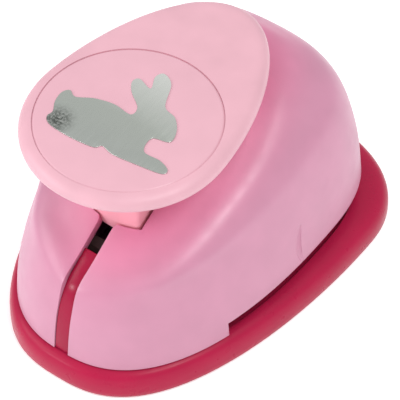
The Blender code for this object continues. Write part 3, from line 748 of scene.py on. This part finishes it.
def make_base():
    """The tray: a convex rounded rim, a flat floor, the window for cut-outs and its screw holes."""
    outer = egg(BASE_OUTLINE)
    inner = egg(RIM_INNER)
    foot = [(-0.0005, 0.0), (-0.0002, 0.0001), (0.0, 0.0004)]
    band = [(0.0, 0.0014), (0.004, 0.0021), (0.016, 0.0028), (0.04, 0.0034), (0.08, 0.00395), (0.13, 0.0044),
            (0.20, 0.0048), (0.29, 0.0051), (0.40, 0.00533), (0.54, 0.0055), (0.70, 0.0056), (0.86, 0.0056),
            (0.97, 0.00555), (1.0, 0.0054)]
    rings = [at_height(egg(BASE_OUTLINE, grow), z) for grow, z in foot]
    rings += [at_height(between(outer, inner, share), z) for share, z in band]
    rings += [at_height(inner, BASE_FLOOR + 0.0004), at_height(egg(RIM_INNER, -0.0004), BASE_FLOOR)]
    base = from_bmesh("base_tray", loft(rings), CRIMSON)
    window = rounded_rectangle(WINDOW_HALF_WIDTH, DIE_Y - WINDOW_REACH, DIE_Y + WINDOW_REACH, WINDOW_CORNER)
    boolean(base, prism("cutter", window, *BASE_CUT_Z, CRIMSON))
    for x, y in SHELL_SCREWS + DIE_SCREWS:
        boolean(base, disc(SCREW_HOLE_RADIUS, (x, y), *BASE_CUT_Z))
        boolean(base, disc(HEAD_HOLE_RADIUS, (x, y), BASE_CUT_Z[0], HEAD_HOLE_TOP))
    return base


def rounded_rectangle(half_width, front_y, rear_y, radius, count=6):
    points = []
    corners = ((half_width - radius, rear_y - radius, 0), (radius - half_width, rear_y - radius, 90),
               (radius - half_width, front_y + radius, 180), (half_width - radius, front_y + radius, 270))
    for x, y, start in corners:
        for k in range(count + 1):
            turn = math.radians(start + 90 * k / count)
            points.append((x + radius * math.cos(turn), y + radius * math.sin(turn)))
    return points


def make_rib():
    """The crimson fin in the slot, which follows the shell's front and sinks back towards its top."""
    sink = (0.0002, 0.0002, 0.00025, 0.0004, 0.0007, 0.0013)
    front = [(row[0] + inset, row[1]) for row, inset in zip(SHELL_RINGS[:6], sink)]
    curve = smooth_between(front, 6)
    back = [(-0.0266, 0.0238), (-0.0260, 0.0224), (-0.0285, 0.0200), (-0.0310, 0.0170), (-0.0325, 0.0120),
            (-0.0330, SHELL_SEAT_Z)]
    outline = [tuple(point) for point in curve] + back
    rib = prism("slot_fin", outline, -FIN_HALF, FIN_HALF, FIN_CRIMSON_SHADED, "YZ")
    return round_edges(rib, 0.0002, 3)


# ---------------------------------------------------------------- lever

def lever_rings():
    """The palm plate's rings, from the underside up, over its full rim and in to a faint crown."""
    rim = ((-0.0032, 0.0), (-0.0018, 0.00005), (-0.0009, 0.00025), (-0.0004, 0.0006), (-0.0001, 0.0011),
           (0.0, 0.0016), (-0.00005, 0.0021), (-0.0003, 0.0026), (-0.0007, 0.0030), (-0.0012, 0.00325),
           (-0.0018, 0.0034), (-0.0030, 0.00345))
    return [at_height(egg(LEVER_OUTLINE, grow, LEVER_POINTS), LEVER_LOW + rise) for grow, rise in rim]


def make_lever():
    """The palm plate with its stem, hollow under the plate where the arm lies."""
    pad = from_bmesh("palm_lever", loft(lever_rings()), LEVER_PINK)
    side = [(STEM_FRONT_Y - GAP, 0.0455), (STEM_FRONT_Y - GAP, 0.0254), (STEM_FRONT_Y + 0.0018, 0.0254),
            (-0.0130, 0.0300), (0.0020, 0.0372), (0.0080, 0.0400), (0.0140, 0.0430), (0.0150, 0.0455)]
    stem = prism("stem", side, -STEM_HALF_WIDTH - GAP, STEM_HALF_WIDTH + GAP, LEVER_PINK, "YZ")
    front = [STEM_HALF_WIDTH * (2 * i / STEM_STEPS - 1) for i in range(STEM_STEPS + 1)]
    plan = [(STEM_HALF_WIDTH, STEM_CUT_REAR_Y), (-STEM_HALF_WIDTH, STEM_CUT_REAR_Y)]
    plan += [(x, STEM_FRONT_Y + bow(x)) for x in front]
    boolean(stem, prism("cutter", plan, 0.020, 0.050, LEVER_PINK), "INTERSECT")
    round_edges(stem, 0.0006, 4)
    boolean(pad, stem, "UNION")
    room = ARM_HALF_WIDTH + GAP
    boolean(pad, block((-room, ARM_ROOM_FRONT_Y, 0.020), (room, 0.020, ARM_ROOM_TOP)))
    boolean(pad, disc(LABEL_RADIUS, (0, LABEL_Y), LEVER_TOP - LABEL_RECESS, 0.050, LABEL_POINTS))
    for x, y in ARM_SCREWS:
        boolean(pad, disc(SCREW_HOLE_RADIUS, (x, y), 0.040, 0.0458, 16))
    return pad


def make_label():
    """The round label, which fills its recess up to a hairline."""
    top = LEVER_TOP + 0.00004
    profile = ((0.00020, LEVER_TOP - 0.0006), (0.0, LEVER_TOP - 0.0005), (0.0, top - 0.00028),
               (0.00010, top - 0.00024), (0.00022, top - 0.00010), (0.00036, top - 0.00002),
               (0.00052, top), (0.0050, top))
    rings = []
    for inset, z in profile:
        radius = LABEL_RADIUS - inset
        turns = [2 * math.pi * i / LABEL_POINTS for i in range(LABEL_POINTS)]
        rings.append([Vector((radius * math.cos(t), LABEL_Y + radius * math.sin(t), z)) for t in turns])
    return from_bmesh("label", loft(rings), LABEL_PINK)


def make_foil():
    """The rabbit in thin bright foil."""
    outline = [(x, y + LABEL_Y) for x, y in smooth_closed(RABBIT, 6)]
    foil = prism("rabbit_foil", outline, LEVER_TOP + 0.00006, LEVER_TOP + 0.00020, FOIL)
    return round_edges(foil, 0.00004, 2)


# ---------------------------------------------------------------- springs

def make_spring(x):
    """A return spring round its post, with close end turns."""
    low, high = SPRING_Z
    inner = high - low - 2 * SPRING_WIRE
    steps = SPRING_TURNS * SPRING_STEPS
    rings = []
    for i in range(steps + 1):
        share = i / steps
        rise = share - math.sin(4 * math.pi * share) / SPRING_CLOSING
        turn = 2 * math.pi * SPRING_TURNS * share
        outward = Vector((math.cos(turn), math.sin(turn), 0))
        middle = Vector((x, DIE_Y, low + SPRING_WIRE + inner * rise)) + outward * SPRING_RADIUS
        turns = [2 * math.pi * k / WIRE_POINTS for k in range(WIRE_POINTS)]
        rings.append([middle + SPRING_WIRE * (math.cos(t) * outward + math.sin(t) * Vector((0, 0, 1)))
                      for t in turns])
    return from_bmesh("return_spring", loft(rings), SPRING_STEEL)


# ---------------------------------------------------------------- stage

def make_camera():
    lens = bpy.data.cameras.new("camera")
    lens.lens = CAMERA_LENS
    lens.sensor_width = SENSOR_WIDTH
    lens.clip_start = CLIP_START
    camera = bpy.data.objects.new("camera", lens)
    bpy.context.scene.collection.objects.link(camera)
    bpy.context.scene.camera = camera
    right, back = Vector(CAMERA_RIGHT), Vector(CAMERA_BACK)
    up = back.cross(right)
    view = (-back + right * AIM_RIGHT + up * AIM_UP).normalized()
    side = view.cross(up).normalized()
    turn = Matrix((side, side.cross(view), -view)).transposed().to_4x4()
    camera.matrix_world = Matrix.Translation(CAMERA_AT) @ turn


def area_light(name, place, size, power, target=(0.0, 0.0, 0.02)):
    light = bpy.data.lights.new(name, "AREA")
    light.shape = "DISK"
    light.size = size
    light.energy = power
    lamp = bpy.data.objects.new(name, light)
    bpy.context.scene.collection.objects.link(lamp)
    lamp.location = place
    lamp.rotation_euler = (Vector(target) - Vector(place)).to_track_quat("-Z", "Y").to_euler()


def make_stage():
    """A white floor under a bright, even studio."""
    shape = bmesh.new()
    bmesh.ops.create_grid(shape, x_segments=4, y_segments=4, size=FLOOR_SIZE)
    floor = from_bmesh("floor", shape, floor_material())
    floor.location.z = FLOOR_Z
    world = bpy.data.worlds.new("studio")
    bpy.context.scene.world = world
    world.use_nodes = True
    back = world.node_tree.nodes["Background"]
    back.inputs["Color"].default_value = (1.0, 1.0, 1.0, 1.0)
    back.inputs["Strength"].default_value = WORLD_STRENGTH
    for name, where, size, power in LIGHTS:
        area_light(name, where, size, power)
    bpy.context.scene.view_settings.view_transform = "Standard"


# ---------------------------------------------------------------- the object

def dress_frame():
    """Gives every CAD node that stays the material of its slot."""
    for part in frame["record"]["subparts"]:
        node = frame["nodes"][part["node"]]
        material = MATERIALS[part["material_slot"]]
        node.data.materials.clear()
        node.data.materials.append(material)


def place(piece, body, slot, *nodes):
    """Puts a piece on its body, in the place of its CAD nodes. The slot argument is not used."""
    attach(piece, body)
    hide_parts(*nodes)


make_camera()
make_stage()
dress_frame()
place(make_shell(), "frame", "shell_pink", "body_shell")
place(make_base(), "frame", "base_crimson", "base")
place(make_rib(), "frame", "base_crimson", "slot_rib")
place(make_lever(), "lever", "lever_pink", "lever_pad")
place(make_label(), "lever", "label_pink", "label_disc")
place(make_foil(), "lever", "foil_silver", "motif_foil")
for side, spring_x in (("left", -POST_X), ("right", POST_X)):
    spring = make_spring(spring_x)
    place(spring, "frame", "spring_steel", f"spring_{side}")
    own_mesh(spring)
